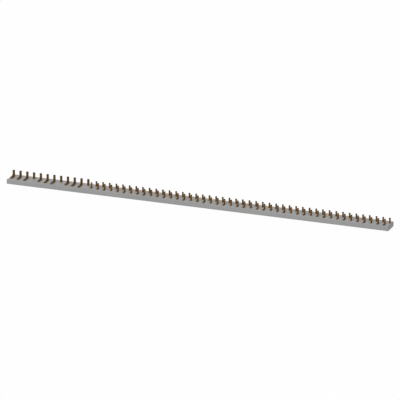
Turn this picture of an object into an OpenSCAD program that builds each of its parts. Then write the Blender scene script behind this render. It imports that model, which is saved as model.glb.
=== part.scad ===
// Comb busbar for a row of modular switching devices.
// Four copper combs (L1, L2, L3 and N) stand on edge in the grooves of an insulating tray.
// A slotted cover closes the tray from above and a cap with pegs closes each end. The line pins
// come up through the cover near its front, lie back over it as flat feet and then stand up in
// the terminal rows.
// X runs along the bar, Y towards its rear and Z up. The origin is under the middle of the tray.

/* [Pin layout] */
// Groups of four pins (L1 L2 L3 N) at the left end, one group for each four-pole device
groups_4p = 3; // [1:1:3]
// Distance between pins in the four-pole groups
pitch_4p = 18; // [17.5:0.1:18.5]
// One-pole and neutral modules to the right of the groups
modules_1pn = 45; // [3:3:45]
// Width of a one-pole and neutral module
pitch_1pn = 17.6; // [17:0.1:18]
// Line pin of a module, from the module's left side
line_pin_x = 4; // [3.5:0.1:5]
// Neutral pin of a module, from the module's left side
neutral_pin_x = 12.7; // [12:0.1:13.5]
// Depth of the rear terminal row, from the front of the tray to the middle of its pins
rear_row_y = 26.4; // [25:0.1:28]
// Depth of the front terminal row, to the middle of its pins
front_row_y = 14.7; // [14:0.1:16]

/* [Copper combs] */
// Thickness of the copper sheet
sheet_t = 2; // [1.5:0.1:2.2]
// Height of the strip that joins a comb's pins
strip_h = 8; // [6:0.1:8]
// Inner radius of the bends in the line pins
bend_r = 0.6; // [0.4:0.1:1]
// Width of the pins in the four-pole groups
wide_pin_w = 5.9; // [4:0.1:6]
// Height of those pins above the cover
wide_pin_h = 16.8; // [12:0.1:18]
// Width of the line pins in the modules
line_pin_w = 3.9; // [3:0.1:4.5]
// Width of the neutral pins in the modules
neutral_pin_w = 4.1; // [3:0.1:4.5]
// Height of the module pins above the cover
module_pin_h = 14; // [11:0.1:16]
// Chamfer on the two narrow sides of each pin's tip
tip_chamfer = 1; // [0.5:0.1:1.2]
// Bevel coined on the two broad sides of each pin's tip
tip_bevel = 0.5; // [0.2:0.1:0.6]

/* [Tray] */
// Depth of the tray
tray_d = 39.7; // [38:0.1:42]
// Thickness of the floor
floor_t = 1.5; // [1:0.1:2]
// Thickness of the front wall beside the first comb
front_wall_t = 2.2; // [2:0.1:2.4]
// Thickness of the rear wall below the cover
rear_wall_t = 2; // [1.8:0.1:2.5]
// Height that the front wall stands proud of the cover
front_lip_h = 0.4; // [0:0.1:1]
// Thickness of the ribs between the combs
rib_t = 0.5; // [0.4:0.1:0.8]
// Free space on each side of a comb in its groove
groove_clear = 0.1; // [0.05:0.05:0.2]
// Free space between a comb's strip and the cover
strip_headroom = 0.3; // [0.1:0.1:0.6]
// Thickness of the ceiling and of the webs of the hollow chambers
chamber_t = 1; // [0.8:0.1:1.2]
// Radius of the tray's outer edges
tray_edge_r = 0.5; // [0.2:0.1:0.8]
// Width of the ledge that the cover rests on, front and rear
ledge_w = 0.5; // [0.4:0.1:0.8]
// Radius of the snap bead along the cover's long edges
bead_r = 0.4; // [0.2:0.1:0.5]

/* [Cover] */
// Thickness of the cover
cover_t = 2.4; // [2:0.1:3]
// Distance from the bar's left end to the cover
cover_inset_left = 5.8; // [1:0.1:5.8]
// Distance from the bar's right end to the cover
cover_inset_right = 0.7; // [0.2:0.1:2.5]
// Free space around the cover in the tray
cover_clear = 0.1; // [0.05:0.05:0.15]
// Free space around a pin in its slot
slot_clear = 0.3; // [0.2:0.1:0.5]

/* [End caps] */
// Thickness of an end cap's plate
cap_t = 1.5; // [1:0.1:2]
// Length of the pegs that hold the cap in the tray's chambers
peg_l = 6; // [4:0.5:10]
// Length of the step at a peg's tip that guides it in
peg_lead = 0.8; // [0.4:0.1:1]
// Free space around a peg in its chamber
peg_clear = 0.1; // [0.05:0.05:0.2]
// Free space between a cap and the ends of the copper strips
strip_gap = 0.5; // [0.3:0.1:1]

/* [Hidden] */
$fn = 48;
PLASTIC = [0.6, 0.6, 0.59];
COPPER = [0.42, 0.32, 0.23];
LINES = 3;                                    // L1, L2 and L3
POLES = 4;                                    // L1, L2, L3 and N

// Along the bar
block_w = groups_4p * POLES * pitch_4p;       // the four-pole groups
bar_w = block_w + modules_1pn * pitch_1pn;
left_x = -bar_w / 2;
modules_x = left_x + block_w;                 // left side of the first module
tray_x = left_x + cap_t;
tray_w = bar_w - 2 * cap_t;
strip_x = tray_x + strip_gap;
strip_w = tray_w - 2 * strip_gap;
cover_w = bar_w - cover_inset_left - cover_inset_right;

// Across the bar
front_y = -tray_d / 2;
row_a = front_y + rear_row_y;
row_b = front_y + front_row_y;
groove_w = sheet_t + 2 * groove_clear;
comb_step = groove_w + rib_t;
// Front face of a comb's strip: L3 is foremost, then L2 and L1, and N stands under the rear row
function line_y(line) = front_y + front_wall_t + groove_clear + (LINES - 1 - line) * comb_step;
neutral_y = row_a - sheet_t / 2;
cover_front_y = front_y + front_wall_t - ledge_w;
cover_rear_y = front_y + tray_d - rear_wall_t + ledge_w;
// Front and rear limits of the hollow chambers: two between the combs and one behind them
chambers_y = line_y(0) - groove_clear + groove_w + chamber_t;
chambers_end_y = neutral_y - groove_clear - chamber_t;
web_y = (chambers_y + chambers_end_y) / 2;
CHAMBERS = [
    [chambers_y, web_y - chamber_t / 2],
    [web_y + chamber_t / 2, chambers_end_y],
    [neutral_y - groove_clear + groove_w + chamber_t, front_y + tray_d - rear_wall_t]
];

// Upwards
strip_z = floor_t + strip_h;                  // upper edge of the copper strips
root_r = strip_headroom;                      // inner corners where the pins leave the strips
ledge_z = strip_z + strip_headroom;           // underside of the cover
cover_z = ledge_z + cover_t;                  // upper face of the cover
wide_tip_z = cover_z + wide_pin_h;
module_tip_z = cover_z + module_pin_h;
bead_z = ledge_z + cover_t / 2;
far = 2 * (cover_t + wide_pin_h + tray_d);    // reach of cutting bodies

// Middle of pin number i in the four-pole groups, and of a module's pins
function group_pin(i) = left_x + (i + 0.5) * pitch_4p;
function module_pin(i, offset) = modules_x + i * pitch_1pn + offset;

// X positions of the pins of one line (0 to 2), and of the neutral
function line_wide_xs(line) = [for (g = [0 : groups_4p - 1]) group_pin(POLES * g + line)];
function line_module_xs(line) = [for (i = [line : LINES : modules_1pn - 1]) module_pin(i, line_pin_x)];
neutral_wide_xs = [for (g = [0 : groups_4p - 1]) group_pin(POLES * g + LINES)];
neutral_module_xs = [for (i = [0 : modules_1pn - 1]) module_pin(i, neutral_pin_x)];

// Stands a shape drawn in the Y-Z plane along X, from x to x + length
module along_x(x, length) {
    translate([x, 0, 0]) rotate([90, 0, 90]) linear_extrude(length) children();
}

// Stands a shape drawn in the X-Z plane along Y, from y to y + depth
module along_y(y, depth) {
    translate([0, y + depth, 0]) rotate([90, 0, 0]) linear_extrude(depth) children();
}

// Rectangle between two corners
module span(low, high) {
    translate(low) square(high - low);
}

// Rectangle with round corners
module soft_span(low, high, r) {
    span([low.x + r, low.y], [high.x - r, high.y]);
    span([low.x, low.y + r], [high.x, high.y - r]);
    for (x = [low.x + r, high.x - r], y = [low.y + r, high.y - r]) translate([x, y]) circle(r);
}

// Groove for one comb, open to the top, in the tray's section
module groove(y) {
    span([y - groove_clear, floor_t], [y + sheet_t + groove_clear, cover_z]);
}

// Section of a hollow chamber, made smaller by a clearance all round
module chamber(limits, clear = 0) {
    low = [limits[0] + clear, floor_t + clear];
    high = [limits[1] - clear, ledge_z - chamber_t - clear];
    soft_span(low, high, tray_edge_r);
}

// Outline of the tray from the end: a block with the cover's seat cut into its top
module tray_outline() {
    difference() {
        soft_span([front_y, 0], [front_y + tray_d, cover_z + front_lip_h], tray_edge_r);
        span([cover_front_y, ledge_z], [cover_rear_y, far]);
        span([cover_rear_y - tray_edge_r, cover_z], [front_y + tray_d, far]);
        for (y = [cover_front_y, cover_rear_y]) translate([y, bead_z]) circle(bead_r + cover_clear / 2);
    }
}

// Insulating tray, extruded in one length, with a groove for each comb and hollow chambers
module tray() color(PLASTIC) along_x(tray_x, tray_w) difference() {
    tray_outline();
    for (line = [0 : LINES - 1]) groove(line_y(line));
    groove(neutral_y);
    for (limits = CHAMBERS) chamber(limits);
}

// Section of the cover: a flat strip with a snap bead on each long edge
module cover_section() {
    front = cover_front_y + cover_clear;
    rear = cover_rear_y - cover_clear;
    span([front, ledge_z], [rear, cover_z]);
    for (y = [front, rear]) translate([y, bead_z]) circle(bead_r);
}

// Slot in the cover for one pin, seen from above, with room behind it for a bend
module slot(x, y, pin_w, bend_room) {
    low = [x - pin_w / 2 - slot_clear, y - slot_clear];
    high = [x + pin_w / 2 + slot_clear, y + sheet_t + slot_clear + bend_room];
    soft_span(low, high, slot_clear);
}

// All the slots, seen from above
module slots() {
    for (line = [0 : LINES - 1]) {
        for (x = line_wide_xs(line)) slot(x, line_y(line), wide_pin_w, bend_r);
        for (x = line_module_xs(line)) slot(x, line_y(line), line_pin_w, bend_r);
    }
    for (x = neutral_wide_xs) slot(x, neutral_y, wide_pin_w, 0);
    for (x = neutral_module_xs) slot(x, neutral_y, neutral_pin_w, 0);
}

// Slotted cover
module cover() color(PLASTIC) difference() {
    along_x(left_x + cover_inset_left, cover_w) cover_section();
    translate([0, 0, ledge_z - cover_t]) linear_extrude(3 * cover_t) slots();
}

// One pin of a comb's blank, seen from the front: a chamfered tip and round inner corners at its root
module pin_outline(x, pin_w, tip_z) {
    root_w = pin_w / 2 + root_r;
    translate([x, 0]) difference() {
        polygon([
            [-root_w, strip_z - root_r],
            [root_w, strip_z - root_r],
            [root_w, strip_z + root_r],
            [pin_w / 2, strip_z + root_r],
            [pin_w / 2, tip_z - tip_chamfer],
            [pin_w / 2 - tip_chamfer, tip_z],
            [tip_chamfer - pin_w / 2, tip_z],
            [-pin_w / 2, tip_z - tip_chamfer],
            [-pin_w / 2, strip_z + root_r],
            [-root_w, strip_z + root_r]
        ]);
        for (side = [-1, 1]) translate([side * root_w, strip_z + root_r]) circle(root_r);
    }
}

// Blank of a comb, seen from the front
module comb_outline(wide_xs, module_xs, module_w) {
    span([strip_x, floor_t], [strip_x + strip_w, strip_z]);
    for (x = wide_xs) pin_outline(x, wide_pin_w, wide_tip_z);
    for (x = module_xs) pin_outline(x, module_w, module_tip_z);
}

// Quarter of a bend in the sheet: angle turns it about its centre
module bend(centre, angle) {
    translate(centre) rotate(angle) difference() {
        intersection() {
            circle(bend_r + sheet_t);
            square(bend_r + sheet_t);
        }
        circle(bend_r);
    }
}

// Upper end of a pin, seen from the side, with its coined bevels
module tip_side(y, low_z, tip_z) {
    polygon([
        [y, low_z],
        [y + sheet_t, low_z],
        [y + sheet_t, tip_z - tip_bevel],
        [y + sheet_t - tip_bevel, tip_z],
        [y + tip_bevel, tip_z],
        [y, tip_z - tip_bevel]
    ]);
}

// Side view of a line comb: up from its groove, back over the cover as a foot, up as a pin
module line_side(y, row, tip_z) {
    pin_y = row - sheet_t / 2;
    low_bend = [y + sheet_t + bend_r, cover_z - bend_r];
    high_bend = [pin_y - bend_r, cover_z + sheet_t + bend_r];
    span([y, floor_t], [y + sheet_t, low_bend.y]);
    bend(low_bend, 90);
    span([low_bend.x, cover_z], [high_bend.x, cover_z + sheet_t]);
    bend(high_bend, -90);
    tip_side(pin_y, high_bend.y, tip_z);
}

// Line comb: the bent section of the sheet cut to the blank's outline
module line_comb(line) {
    y = line_y(line);
    intersection() {
        union() {
            along_x(left_x, block_w) line_side(y, row_a, wide_tip_z);
            along_x(modules_x, bar_w - block_w) line_side(y, row_b, module_tip_z);
        }
        along_y(front_y, tray_d) comb_outline(line_wide_xs(line), line_module_xs(line), line_pin_w);
    }
}

// Line combs
module comb_l1() color(COPPER) line_comb(0);
module comb_l2() color(COPPER) line_comb(1);
module comb_l3() color(COPPER) line_comb(2);

// Neutral comb: flat, with straight pins
module comb_n() color(COPPER) intersection() {
    union() {
        along_x(left_x, block_w) tip_side(neutral_y, floor_t, wide_tip_z);
        along_x(modules_x, bar_w - block_w) tip_side(neutral_y, floor_t, module_tip_z);
    }
    along_y(front_y, tray_d) comb_outline(neutral_wide_xs, neutral_module_xs, neutral_pin_w);
}

// End cap: a plate with the tray's outline, held by a peg in each chamber. It is drawn for the left
// end, with its outer face at x = 0 and its pegs towards +X
module cap() {
    along_x(0, cap_t) tray_outline();
    for (limits = CHAMBERS) {
        along_x(cap_t, peg_l - peg_lead) chamber(limits, peg_clear);
        along_x(cap_t, peg_l) chamber(limits, peg_clear + peg_lead / 2);
    }
}

module cap_left() color(PLASTIC) translate([left_x, 0, 0]) cap();
module cap_right() color(PLASTIC) mirror([1, 0, 0]) translate([left_x, 0, 0]) cap();

tray();
cover();
comb_n();
comb_l1();
comb_l2();
comb_l3();
cap_left();
cap_right();
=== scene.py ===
# %% [markdown]
# # A comb busbar
#
# A comb busbar feeds a row of switching devices in a distribution board. Four copper combs, one for
# each line and one for the neutral, stand in the grooves of a grey insulating tray. A slotted cover
# closes the tray from above, and a cap closes each end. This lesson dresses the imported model. It
# keeps the tray, the cover and the caps and gives them their finish, and it makes the combs again
# with broken edges and round bends.
#
# First the model is loaded as a fixed frame. The places below are measured from its pieces.

import math

import bpy
import numpy as np
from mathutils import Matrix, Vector


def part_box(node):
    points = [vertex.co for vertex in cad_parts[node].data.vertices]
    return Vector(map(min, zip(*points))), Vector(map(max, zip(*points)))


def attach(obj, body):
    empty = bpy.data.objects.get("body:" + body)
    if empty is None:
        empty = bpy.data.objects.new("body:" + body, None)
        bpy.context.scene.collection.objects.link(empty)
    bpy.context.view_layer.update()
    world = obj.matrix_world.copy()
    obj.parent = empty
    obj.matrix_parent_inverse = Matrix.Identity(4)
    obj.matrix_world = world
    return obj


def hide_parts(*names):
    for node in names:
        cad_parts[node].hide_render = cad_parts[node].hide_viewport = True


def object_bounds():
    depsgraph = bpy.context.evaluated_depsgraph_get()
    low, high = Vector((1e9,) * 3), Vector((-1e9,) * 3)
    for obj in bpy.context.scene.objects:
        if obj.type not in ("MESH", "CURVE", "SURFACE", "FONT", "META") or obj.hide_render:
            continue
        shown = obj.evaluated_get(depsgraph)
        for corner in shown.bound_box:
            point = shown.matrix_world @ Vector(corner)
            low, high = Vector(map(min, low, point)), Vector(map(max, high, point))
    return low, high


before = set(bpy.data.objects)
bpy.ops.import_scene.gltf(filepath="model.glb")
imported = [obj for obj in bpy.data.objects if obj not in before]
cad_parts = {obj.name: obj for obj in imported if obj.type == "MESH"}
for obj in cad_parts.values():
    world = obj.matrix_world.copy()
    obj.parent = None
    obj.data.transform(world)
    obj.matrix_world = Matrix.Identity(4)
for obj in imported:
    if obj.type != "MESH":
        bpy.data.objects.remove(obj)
cad_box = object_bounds()
MM = 0.001
tray_low, tray_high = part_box("tray")
print("tray", [round(side / MM, 1) for side in tray_high - tray_low], "mm")

# %% [markdown]
# ## Camera
#
# The bar is seen from the front, from 20 degrees to the right and 20 degrees above, by a camera so
# far away that parallel edges stay parallel. An orthographic camera would do that too. A long lens
# was chosen because it still makes what is nearer a little larger, as every real lens does. The
# camera aims close to the middle of the bar, a little to the right and below it, so that the pins
# and the tray fill the picture evenly.

# %% Camera
AZIMUTH, ELEVATION = math.radians(20), math.radians(20)
VIEW_WIDTH = 0.9936                       # width of the picture at the object, in metres
LENS, SENSOR = 1700, 36                   # a very long lens, in millimetres
AIM_FROM_CENTRE = Vector((1.0, 0.6, -1.7)) * MM


def make_camera(target):
    """Camera on the line that leaves the target by the two angles, as far off as the lens asks."""
    back = Vector((
        math.sin(AZIMUTH) * math.cos(ELEVATION),
        -math.cos(AZIMUTH) * math.cos(ELEVATION),
        math.sin(ELEVATION),
    ))
    camera = bpy.data.objects.new("camera", bpy.data.cameras.new("camera"))
    camera.data.lens, camera.data.sensor_width = LENS, SENSOR
    distance = VIEW_WIDTH * LENS / SENSOR
    camera.data.clip_end = 2 * distance
    camera.location = target + back * distance
    camera.rotation_euler = back.to_track_quat("Z", "Y").to_euler()
    bpy.context.scene.collection.objects.link(camera)
    bpy.context.scene.camera = camera
    return distance


centre = (cad_box[0] + cad_box[1]) / 2
print("camera distance", round(make_camera(centre + AIM_FROM_CENTRE), 2), "m")

# %% [markdown]
# ## Shader maths
#
# A finish is a sum of simple patterns. One small class wraps what comes out of a node, and its
# operators add Math nodes, so that a pattern reads as a sum. A Math node would turn a colour grey,
# so colours go through Mix nodes instead. Every new node comes from one method, add, which takes
# the node's kind, its settings and what goes into its sockets.

# %% Sockets as numbers
class Socket:
    """What comes out of a node. Between numbers +, - and * add a Math node each, and so does abs.

    A plain number may stand on either side of +, - and *.
    """

    def __init__(self, nodes, source):
        self.nodes, self.source = nodes, source

    def maths(self, operation, *terms):
        """A Math node with one or two terms."""
        return self.nodes.add("ShaderNodeMath", {"operation": operation}, dict(enumerate(terms)))

    def __add__(self, other):
        return self.maths("ADD", self, other)

    def __radd__(self, other):
        return self.maths("ADD", other, self)

    def __sub__(self, other):
        return self.maths("SUBTRACT", self, other)

    def __rsub__(self, other):
        return self.maths("SUBTRACT", other, self)

    def __mul__(self, other):
        return self.maths("MULTIPLY", self, other)

    def __rmul__(self, other):
        return self.maths("MULTIPLY", other, self)

    def __abs__(self):
        return self.maths("ABSOLUTE", self)

    def at_least(self, other):
        """The larger one of two numbers."""
        return self.maths("MAXIMUM", self, other)

    def step(self, low, high):
        """0 below low and 1 above high, smooth between them; low may be above high."""
        smooth = {"interpolation_type": "SMOOTHSTEP"}
        inputs = {"Value": self, "From Min": low, "From Max": high}
        return self.nodes.add("ShaderNodeMapRange", smooth, inputs, "Result")


print("sockets can be added, subtracted and multiplied")

# %% Trees of nodes
class Nodes:
    """A tree of shader nodes under construction."""

    def __init__(self, tree):
        self.tree = tree

    def connect(self, value, place):
        """Sets a socket to a plain number, colour or vector, or links it to another node's."""
        if isinstance(value, Socket):
            self.tree.links.new(value.source, place)
        else:
            place.default_value = value

    def add(self, kind, settings, inputs, output=0):
        """A node of any kind: its settings first, then the values or links of its sockets."""
        node = self.tree.nodes.new(kind)
        for name, value in settings.items():
            setattr(node, name, value)
        for name, value in inputs.items():
            self.connect(value, node.inputs[name])
        return Socket(self, node.outputs[output])


print("nodes can be added to a tree")

# %% [markdown]
# ## Light and floor
#
# An even sky and one broad lamp from the front, the left and above light the front and the top
# alike, and leave the right end a little darker. A brighter sky would make the background white as
# well, but it would bleach the bar. So the floor and the sky are plain white to the camera and in
# reflections only, and add no light to the object.

# %% Sky and lamp
SKY_STRENGTH = 0.72
LAMP_STRENGTH = 1.15
LAMP_ANGLE = math.radians(60)             # how wide the lamp looks from the bar
LAMP_FROM = Vector((-0.35, -0.75, 0.85))


def shown(nodes):
    """1 for camera, glossy and transmission rays, 0 for the rest."""
    rays = "Is Camera Ray", "Is Glossy Ray", "Is Transmission Ray"
    camera, glossy, through = (nodes.add("ShaderNodeLightPath", {}, {}, ray) for ray in rays)
    return camera.at_least(glossy).at_least(through)


def make_sky():
    """World whose strength is SKY_STRENGTH for light and 1 where it is seen."""
    world = bpy.data.worlds.new("sky")
    bpy.context.scene.world = world
    world.use_nodes = True
    nodes = Nodes(world.node_tree)
    background = world.node_tree.nodes["Background"]
    nodes.connect((1, 1, 1, 1), background.inputs["Color"])
    strength = SKY_STRENGTH + (1 - SKY_STRENGTH) * shown(nodes)
    nodes.connect(strength, background.inputs["Strength"])


def make_lamp():
    """One sun with a wide disc, so that its shadows are soft and it lights the whole bar evenly."""
    lamp = bpy.data.objects.new("lamp", bpy.data.lights.new("lamp", "SUN"))
    lamp.data.energy, lamp.data.angle = LAMP_STRENGTH, LAMP_ANGLE
    lamp.rotation_euler = LAMP_FROM.to_track_quat("Z", "Y").to_euler()
    bpy.context.scene.collection.objects.link(lamp)


make_sky()
make_lamp()
bpy.context.scene.view_settings.view_transform = "Standard"
print("sky and lamp made")

# %% Floor
FLOOR_SIZE = 12                           # in metres
FLOOR_GAP = 0.1 * MM                      # between the floor and the tray
FLOOR_WHITE = (0.86, 0.86, 0.86, 1)
FLOOR_SHOWN = 0.95                        # share of the plain white that camera rays see


def floor_paint():
    """Matt white, mixed with plain white to the camera."""
    material = bpy.data.materials.new("floor")
    material.use_nodes = True
    nodes = Nodes(material.node_tree)
    matt = nodes.tree.nodes["Principled BSDF"]
    nodes.connect(FLOOR_WHITE, matt.inputs["Base Color"])
    nodes.connect(1, matt.inputs["Roughness"])
    nodes.connect(0, matt.inputs["Specular IOR Level"])
    glow = nodes.add("ShaderNodeEmission", {}, {})
    shaders = {0: shown(nodes) * FLOOR_SHOWN, 1: Socket(nodes, matt.outputs[0]), 2: glow}
    mixed = nodes.add("ShaderNodeMixShader", {}, shaders)
    nodes.connect(mixed, nodes.tree.nodes["Material Output"].inputs["Surface"])
    return material


def make_floor():
    """Flat square just under the tray."""
    half = FLOOR_SIZE / 2
    z = tray_low.z - FLOOR_GAP
    corners = [(-half, -half, z), (half, -half, z), (half, half, z), (-half, half, z)]
    mesh = bpy.data.meshes.new("floor")
    mesh.from_pydata(corners, [], [(0, 1, 2, 3)])
    mesh.materials.append(floor_paint())
    floor = bpy.data.objects.new("floor", mesh)
    bpy.context.scene.collection.objects.link(floor)


make_floor()
print("floor", FLOOR_SIZE, "m wide")

# %% [markdown]
# ## What a finish is made of
#
# A finish is a material whose colour, gloss and relief are worked out from the place on the object,
# in metres. Painted pictures would need a layout of each piece and would blur close up. Noise that
# is squeezed or stretched along X, Y and Z gives clouds, grain and streaks at any size instead.

# %% What a finish is made of
class Finish(Nodes):
    """A material under construction: its nodes, its main shader and the object's coordinates."""

    def __init__(self, name, specular):
        self.material = bpy.data.materials.new(name)
        self.material.use_nodes = True
        super().__init__(self.material.node_tree)
        self.shader = self.tree.nodes["Principled BSDF"]
        self.set("Specular IOR Level", specular)
        self.place = self.add("ShaderNodeTexCoord", {}, {}, "Object")
        self.facing = self.add("ShaderNodeTexCoord", {}, {}, "Normal")

    def set(self, name, value):
        """Gives one socket of the main shader a value or a link."""
        self.connect(value, self.shader.inputs[name])

    def part(self, vector, axis):
        """The number of a vector along the axis X, Y or Z."""
        return self.add("ShaderNodeSeparateXYZ", {}, {0: vector}, axis)

    def noise(self, per_metre, detail=2.0, roughness=0.5):
        """Noise with its own number of blotches per metre along X, Y and Z, from 0 to 1."""
        vectors = {0: self.place, 1: per_metre}
        stretched = self.add("ShaderNodeVectorMath", {"operation": "MULTIPLY"}, vectors)
        inputs = {"Vector": stretched, "Scale": 1.0, "Detail": detail, "Roughness": roughness}
        return self.add("ShaderNodeTexNoise", {}, inputs, "Fac")

    def blend(self, share, first, second):
        """Colour that goes from the first to the second as share goes from 0 to 1.

        A Mix node keeps its two colours in sockets 6 and 7, and its mixed colour in output 2.
        """
        inputs = {0: share, 6: first, 7: second}
        return self.add("ShaderNodeMix", {"data_type": "RGBA"}, inputs, 2)

    def bump(self, height, depth):
        """Raises the surface by height times depth, in metres."""
        inputs = {"Height": height, "Distance": depth, "Strength": 1.0}
        self.set("Normal", self.add("ShaderNodeBump", {}, inputs, "Normal"))


def shade(red, green, blue):
    """Colour as it looks on a screen, 0 to 255, turned into the linear numbers of shaders."""
    return tuple(((c / 255 + 0.055) / 1.055) ** 2.4 for c in (red, green, blue)) + (1.0,)


print("a middle grey is", [round(c, 3) for c in shade(128, 128, 128)])

# %% [markdown]
# ## Extruded plastic
#
# The tray is extruded and the cover is a punched strip, both of rigid grey plastic. The cover is
# a shade paler, as painted light against the shade that falls on it between the pins. The colour
# is almost even, and what makes it look real is small: faint die lines along the bar, a fine grain
# that makes the gloss uneven, cloudy tone over a hand's width, a few scuffs, long edges rubbed a
# little paler, and sawn ends. The die lines could be grooves in the mesh, but they are finer than
# any edge of it. Noise that is stretched along X does for them.

# %% Extruded plastic
TRAY_GREYS = shade(148, 149, 149), shade(153, 153, 152)
# The cover's greys are paler than the tray's: painted light against the shade that falls between
# the pins.
COVER_GREYS_WITH_PAINTED_LIGHT = shade(153, 152, 150), shade(158, 157, 154)
RUBBED = shade(166, 167, 167)
SAWN = shade(138, 139, 139)
RUB_ENDS, RUB_FULL = 1.4 * MM, 0.3 * MM   # distances from an edge where the wear ends and is full
DIE_RELIEF = 0.05 * MM


def rub(finish, low, high):
    """0 to 1 near the long edges of a piece between two corners, broken up as wear is.

    The distances from the nearest side and from the nearest face are added. Both are 0 at an edge.
    """
    y, z = finish.part(finish.place, "Y"), finish.part(finish.place, "Z")
    from_side = (high.y - low.y) / 2 - abs(y - (low.y + high.y) / 2)
    from_face = (high.z - low.z) / 2 - abs(z - (low.z + high.z) / 2)
    near = (from_side + from_face).step(RUB_ENDS, RUB_FULL)
    return near * finish.noise((60, 60, 60), detail=4).step(0.42, 0.7)


def extruded(name, low, high, grey, clouded):
    """Plastic for a long piece between two corners, with die lines along X and sawn ends.

    Its colour drifts from grey to clouded, and goes towards RUBBED at long edges and in scuffs.
    """
    finish = Finish(name, specular=0.35)
    cloud = finish.noise((9, 40, 40), detail=3)
    grain = finish.noise((1800, 1800, 1800))
    die_lines = finish.noise((2.5, 1400, 1400), detail=1)
    saw_marks = finish.noise((500, 90, 2600), detail=1)
    scuffs = finish.noise((70, 1100, 1100), detail=3).step(0.66, 0.76)
    sawn = abs(finish.part(finish.facing, "X")).step(0.8, 0.95)
    tone = finish.blend(cloud.step(0.35, 0.75), grey, clouded)
    tone = finish.blend(rub(finish, low, high) * 0.6 + scuffs * 0.35, tone, RUBBED)
    tone = finish.blend(sawn, tone, finish.blend(saw_marks, SAWN, grey))
    finish.set("Base Color", tone)
    finish.set("Roughness", 0.42 + 0.12 * grain + 0.12 * die_lines + 0.18 * sawn + 0.1 * scuffs)
    finish.bump(grain * 0.3 + die_lines * (1 - sawn) + saw_marks * sawn * 2, DIE_RELIEF)
    return finish.material


plastics = {
    "tray": extruded("tray_plastic", *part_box("tray"), *TRAY_GREYS),
    "cover": extruded("cover_plastic", *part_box("cover"), *COVER_GREYS_WITH_PAINTED_LIGHT),
}
print("extruded plastic for", *plastics)

# %% [markdown]
# ## Moulded plastic
#
# The end caps are moulded from the same grey plastic. A mould leaves no die lines. Its eroded wall
# prints a fine, even texture of tiny pits, which scatters the light, so the caps look more matt.
# The pits are too small to be modelled, so a bump of fine noise stands for them.

# %% Moulded plastic
MOULDED = shade(149, 149, 148)
MOULDED_DARK = shade(142, 142, 141)
PIT_RELIEF = 0.04 * MM


def moulded(name, low, high):
    """Grey plastic with an eroded texture, for a piece between two corners."""
    finish = Finish(name, specular=0.35)
    pits = finish.noise((3200, 3200, 3200), detail=3, roughness=0.7)
    cloud = finish.noise((70, 70, 70), detail=2)
    mottled = cloud.step(0.3, 0.7) * 0.6 + pits.step(0.55, 0.75) * 0.4
    tone = finish.blend(mottled, MOULDED, MOULDED_DARK)
    finish.set("Base Color", finish.blend(rub(finish, low, high) * 0.6, tone, RUBBED))
    finish.set("Roughness", 0.56 + 0.16 * pits)
    finish.bump(pits, PIT_RELIEF)
    return finish.material


for cap in ("cap_left", "cap_right"):
    plastics[cap] = moulded(cap + "_plastic", *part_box(cap))
    print("moulded plastic for", cap)

# %% [markdown]
# ## Dress the plastic pieces
#
# The tray, the cover and the caps already have the right shape, so only their material changes.
# Each has a finish of its own, because the rubbed edges are worked out from its two corners.

# %% Dress the plastic pieces
def dress(node, material):
    """Gives a node of the frame one material all over."""
    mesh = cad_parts[node].data
    mesh.materials.clear()
    mesh.materials.append(material)
    print(node, "wears", material.name)


for node, material in plastics.items():
    dress(node, material)

# %% [markdown]
# ## Where the pins stand
#
# The pins follow the devices' pitch: 18 mm in the four-pole groups and 17.6 mm in the modules. In a
# group they are L1, L2, L3 and N in turn, all in the rear row. Each module has a neutral pin in the
# rear row and, in front of it, a line pin from L1, L2 and L3 in turn. The rows, the cover's upper
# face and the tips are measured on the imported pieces.

# %% Where the pins stand
GROUPS, MODULES = 3, 45
LINES, POLES = 3, 4
GROUP_PITCH, MODULE_PITCH = 18 * MM, 17.6 * MM
LINE_AT, NEUTRAL_AT = 4 * MM, 12.7 * MM   # places of the two pins in a module
ROWS_APART = 11.7 * MM
MODULE_LESS = 2.8 * MM                    # a module's pins are this much lower than the wide ones

neutral_low, neutral_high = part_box("comb_n")
group_x = cad_box[0].x + (np.arange(GROUPS * POLES) + 0.5) * GROUP_PITCH
module_x = cad_box[0].x + GROUPS * POLES * GROUP_PITCH + np.arange(MODULES) * MODULE_PITCH
rear_row = (neutral_low.y + neutral_high.y) / 2
front_row = rear_row - ROWS_APART
wide_tip = neutral_high.z
module_tip = wide_tip - MODULE_LESS
cover_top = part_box("cover")[1].z
print("rows at y =", round(front_row / MM, 2), "and", round(rear_row / MM, 2), "mm")

# %% [markdown]
# ## Brown copper
#
# The copper has gone dull and brown. Most of its skin is oxide, which is matt, and bare metal only
# glints through. Rolled faces show streaks along the pins, and the sheared sides of a stamping have
# a smooth band and a torn, rougher band. Faces that face up are painted darker, and the tips are
# painted darkest: both are painted shade. The wide pins are a shade darker than the others. Each of
# these could be a material of its own, with a hard border. Here each is a mask, worked out from the
# way a face looks or from its place, and the colours are laid over each other in turn.

# %% Brown copper
TARNISH = shade(125, 88, 34)
DARK_TARNISH = shade(93, 65, 24)
# painted shade on faces that face up
UPWARD_PAINTED_SHADE = shade(62, 42, 13)
BARE = shade(174, 112, 48)
TORN = shade(100, 69, 27)
# painted shade at the tips
TIP_PAINTED_SHADE = shade(48, 36, 17)
TIP_SHADE_ENDS, TIP_SHADE_FULL = 3.4 * MM, 0.8 * MM   # below a tip, where its painted shade ends and is full
CHANGE = 1 * MM                           # stretch of the bar in which the wide pins' finish ends
WIDE_DARKER = 0.7                         # how far the wide pins' tone goes to DARK_TARNISH
COPPER_RELIEF = 0.02 * MM


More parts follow.
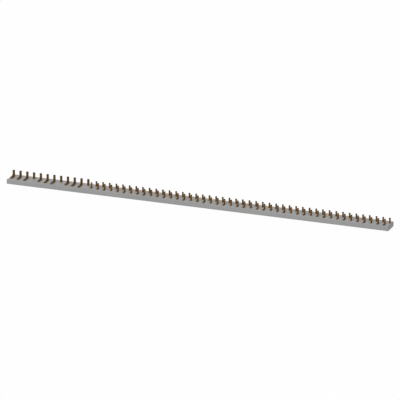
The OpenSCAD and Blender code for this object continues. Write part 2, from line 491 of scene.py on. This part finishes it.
def copper(name):
    """Oxidised copper with painted shade, darkest at the tips, which are lower from the first
    module on.
    """
    finish = Finish(name, specular=0.2)
    blotches = finish.noise((220, 220, 220), detail=4, roughness=0.6)
    streaks = finish.noise((2200, 2200, 90), detail=1)
    fine = finish.noise((5200, 5200, 5200), detail=1)
    sheared = abs(finish.part(finish.facing, "X")).step(0.75, 0.95)
    flat = finish.part(finish.facing, "Z").step(0.6, 0.9)
    wide = finish.part(finish.place, "X").step(module_x[0], module_x[0] - CHANGE)
    tip = module_tip + (wide_tip - module_tip) * wide
    # painted shade at the tips, full near them and fading out further below
    tip_shade = (finish.part(finish.place, "Z") - tip).step(-TIP_SHADE_ENDS, -TIP_SHADE_FULL)
    glint = streaks.step(0.55, 0.8) * (1 - tip_shade)
    dark = blotches.step(0.3, 0.75) * (1 - WIDE_DARKER * wide) + WIDE_DARKER * wide
    tone = finish.blend(dark, TARNISH, DARK_TARNISH)
    tone = finish.blend(glint * 0.4, tone, BARE)
    tone = finish.blend(sheared * fine.step(0.35, 0.65) * 0.5, tone, TORN)
    # painted shade: darker on faces that face up, then darkest at the tips
    tone = finish.blend(flat * (0.55 + 0.6 * blotches), tone, UPWARD_PAINTED_SHADE)
    tone = finish.blend(tip_shade * 0.85, tone, TIP_PAINTED_SHADE)
    finish.set("Base Color", tone)
    finish.set("Metallic", 0.3 + 0.4 * glint)
    finish.set("Roughness", 0.4 + 0.16 * blotches - 0.08 * glint + 0.12 * sheared)
    finish.bump(streaks * 0.6 + fine * (0.3 + 0.9 * sheared), COPPER_RELIEF)
    return finish.material


brown_copper = copper("brown_copper")
print("made", brown_copper.name)

# %% [markdown]
# ## A cut through the sheet
#
# A comb is stamped from 2 mm copper sheet, so a cut through a pin is a rectangle with its corners
# just broken. Here it is a loop of points. Each corner has two numbers that say which way it lies
# from the middle, and the corner's quarter circle is added to them, so the rectangle can change its
# size along the pin while its corners keep theirs. A Bevel modifier could break the corners as
# well. Here they are in the loop from the start, so every cut has the same number of points, and a
# band of faces joins each one to the next.

# %% A cut through the sheet
EDGE_RADIUS = 0.2 * MM
CORNER_STEPS = 3


def broken_corners():
    """The loop's points, as (side, turn): side is the corner, (+-1, +-1), turn is (cos a, sin a).

    The angle a goes from 0 to 90 degrees in the first corner, and 90 degrees on in each next one.
    """
    start = np.arange(4)[:, None] * np.pi / 2
    a = start + np.linspace(0, np.pi / 2, CORNER_STEPS + 1)
    middle = start + np.pi / 4 + 0 * a
    side = np.sign(np.stack([np.cos(middle), np.sin(middle)], axis=-1))
    turn = np.stack([np.cos(a), np.sin(a)], axis=-1)
    return side.reshape(-1, 2), turn.reshape(-1, 2)


CORNER_SIDE, CORNER_TURN = broken_corners()
print("a cut has", len(CORNER_SIDE), "points")

# %% [markdown]
# ## The strips
#
# The cut is carried along a middle line, and at each stop it is turned to face along the line. Two
# unit vectors do that: one across the sheet and one through it. The first piece made this way is
# the simplest, the strip on edge that joins a comb's pins inside the tray. A box with a Bevel
# modifier would do for it, but not for the bent pins, which the same function makes below.

# %% The strips
SHEET = 2 * MM
STRIP_TOP = 9.5 * MM                      # height of the strips' upper edge


def carry(middle, across, through, half):
    """Closed skin round a middle line: its vertices, its quads and its two end faces.

    vertex = middle + across * (side_a * (half_a - r) + r * cos a)
                    + through * (side_b * (half_b - r) + r * sin a)

    r is EDGE_RADIUS. middle, across and through have a row for each stop, and half has the half
    sizes (half_a, half_b).
    """
    stops, points = len(middle), len(CORNER_SIDE)
    offset = CORNER_SIDE * (half[:, None, :] - EDGE_RADIUS) + CORNER_TURN * EDGE_RADIUS
    skin = middle[:, None] + offset[..., :1] * across[:, None] + offset[..., 1:] * through[:, None]
    here = np.arange(stops * points).reshape(stops, points)
    beside = np.roll(here, -1, axis=1)
    quads = np.stack([here[:-1], beside[:-1], beside[1:], here[1:]], axis=-1).reshape(-1, 4)
    return skin.reshape(-1, 3), quads, [here[0, ::-1], here[-1]]


def strip(node):
    """The comb's strip: the cut, 2 mm by 8 mm, carried along X from end to end."""
    low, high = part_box(node)
    y, z = low.y + SHEET / 2, (low.z + STRIP_TOP) / 2
    middle = np.array([[low.x, y, z], [high.x, y, z]])
    half = np.tile([SHEET / 2, (STRIP_TOP - low.z) / 2], (2, 1))
    return carry(middle, np.array([[0.0, 1, 0]] * 2), np.array([[0.0, 0, 1]] * 2), half)


print("a strip is", round(np.ptp(strip("comb_n")[0][:, 0]) / MM, 1), "mm long")

# %% [markdown]
# ## The side view of a pin
#
# A line pin rises from its groove, bends back over the cover, lies on it as a foot and bends up
# again. Seen along the bar, its middle line is three straight lines joined by two quarter circles.
# A neutral pin is one straight line. At the tip the corners are cut off and the faces are bevelled,
# which guides it into a terminal, and at the root the pin widens into the strip with round inner
# corners. It reaches 1 mm into the strip, where nothing shows. A flat pin could be bent by a
# modifier, but a middle line that has the bends in it gives them their exact radius.

# %% The side view of a pin
INNER_BEND = 0.6 * MM
BEND = INNER_BEND + SHEET / 2             # radius of the middle line
BEND_STEPS = 8
TIP_CHAMFER, TIP_BEVEL = 1 * MM, 0.5 * MM
TIP_BREAK = 0.1 * MM                      # height of the broken edge round a tip's end
ROOT_RADIUS = 0.3 * MM
ROOT_STEPS = 3
ROOT_REACH = 1 * MM
UP = np.array([0.0, 0.0, 1.0])


def quarter(centre, start):
    """Quarter circle of the middle line in the Y-Z plane, and the direction along it.

    point = centre + BEND * (cos b, sin b). b goes back from 180 to 90 degrees where the sheet turns
    from up to flat, and on from -90 to 0 degrees where it turns up again.
    """
    turn = -1 if start > 0 else 1
    b = np.radians(start) + turn * np.linspace(0, np.pi / 2, BEND_STEPS + 1)
    flat = 0 * b
    point = np.stack([flat, centre[0] + BEND * np.cos(b), centre[1] + BEND * np.sin(b)], axis=-1)
    along = turn * np.stack([flat, -np.sin(b), np.cos(b)], axis=-1)
    return point, along


def upright(y, z):
    """Stops of the middle line at x = 0 and the heights z, and the direction along it: up."""
    stops = np.stack([0 * z, y + 0 * z, z], axis=-1)
    return stops, UP + 0 * stops


def pin(width, from_y, row_y, tip):
    """One pin at x = 0, from its strip at from_y to its row at row_y. A straight one has no foot.

    Half the width is width / 2, plus r - sqrt(r^2 - (r - h)^2) at a height h over the strip's edge,
    less the chamfer at the tip. Half the thickness is the sheet's, less the bevel at the tip.
    """
    h = np.linspace(0, ROOT_RADIUS, ROOT_STEPS + 1)
    flare = ROOT_RADIUS - np.sqrt(ROOT_RADIUS**2 - (ROOT_RADIUS - h) ** 2)
    flare = np.r_[flare[0], flare]
    below = np.array([TIP_CHAMFER, TIP_BEVEL, TIP_BREAK, 0])
    cut = np.array([
        [0, 0],
        [TIP_CHAMFER - TIP_BEVEL, 0],
        [TIP_CHAMFER - TIP_BREAK, TIP_BEVEL - TIP_BREAK],
        [TIP_CHAMFER + TIP_BREAK / 2, TIP_BEVEL + TIP_BREAK / 2],
    ])
    stretches = [upright(from_y, STRIP_TOP + np.r_[-ROOT_REACH, h])]
    if abs(row_y - from_y) > SHEET:
        foot_z = cover_top + SHEET / 2
        stretches.append(quarter((from_y + BEND, foot_z - BEND), 180))
        stretches.append(quarter((row_y - BEND, foot_z + BEND), -90))
    stretches.append(upright(row_y, tip - below))
    middle, along = (np.vstack(rows) for rows in zip(*stretches))
    across = np.array([1.0, 0.0, 0.0]) + 0 * middle
    half = np.tile([width / 2, SHEET / 2], (len(middle), 1))
    half[: len(flare), 0] += flare
    half[-len(below):] -= cut
    return carry(middle, across, np.cross(along, across), half)


longest_foot = rear_row + SHEET / 2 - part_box("comb_l3")[0].y
print("the longest foot is", round(longest_foot / MM, 1), "mm")

# %% [markdown]
# ## The four combs
#
# Each comb is one mesh in the place of its node: the strip, its wide pins and its module pins. The
# pins are copies of two skins, moved along X as whole arrays. Array modifiers could copy them too,
# but two lists of places are simpler to read. Only bends and edges are shaded round, and a Weighted
# Normal modifier keeps the broad faces flat beside them.

# %% The four combs
WIDE, LINE_WIDTH, NEUTRAL_WIDTH = 5.9 * MM, 3.9 * MM, 4.1 * MM
SHARP_FROM = math.radians(35)


def repeat(part, places):
    """The same part once at each place along X. Returns its vertices and its faces as lists."""
    skin, quads, ends = part
    everywhere = skin[None] + np.asarray(places)[:, None, None] * [1, 0, 0]
    first = len(skin) * np.arange(len(places))
    faces = (quads[None] + first[:, None, None]).reshape(-1, 4).tolist()
    for end in ends:
        faces += (end[None] + first[:, None]).tolist()
    return everywhere.reshape(-1, 3), faces


def comb_mesh(node, wide_x, narrow_x, narrow_width, narrow_row):
    """The strip, the wide pins and the module pins, joined into one mesh."""
    from_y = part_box(node)[0].y + SHEET / 2
    wide = pin(WIDE, from_y, rear_row, wide_tip)
    narrow = pin(narrow_width, from_y, narrow_row, module_tip)
    corners, faces = [], []
    for part, places in ((strip(node), [0.0]), (wide, wide_x), (narrow, narrow_x)):
        skin, loops = repeat(part, places)
        first = sum(len(c) for c in corners)
        faces += [[first + corner for corner in loop] for loop in loops]
        corners.append(skin)
    mesh = bpy.data.meshes.new(node + "_copper")
    mesh.from_pydata(np.vstack(corners).tolist(), [], faces)
    mesh.shade_smooth()
    mesh.set_sharp_from_angle(angle=SHARP_FROM)
    return mesh


def make_comb(node, mesh):
    """The object of one comb, which replaces its node."""
    mesh.materials.append(brown_copper)
    comb = bpy.data.objects.new(node + "_copper", mesh)
    bpy.context.scene.collection.objects.link(comb)
    comb.modifiers.new("even faces", "WEIGHTED_NORMAL").keep_sharp = True
    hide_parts(node)
    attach(comb, "root")
    print(comb.name, "has", len(mesh.polygons), "faces")


for line in range(LINES):
    node = f"comb_l{line + 1}"
    line_x = module_x[line::LINES] + LINE_AT
    make_comb(node, comb_mesh(node, group_x[line::POLES], line_x, LINE_WIDTH, front_row))
neutral_x = module_x + NEUTRAL_AT
make_comb("comb_n", comb_mesh("comb_n", group_x[LINES::POLES], neutral_x, NEUTRAL_WIDTH, rear_row))
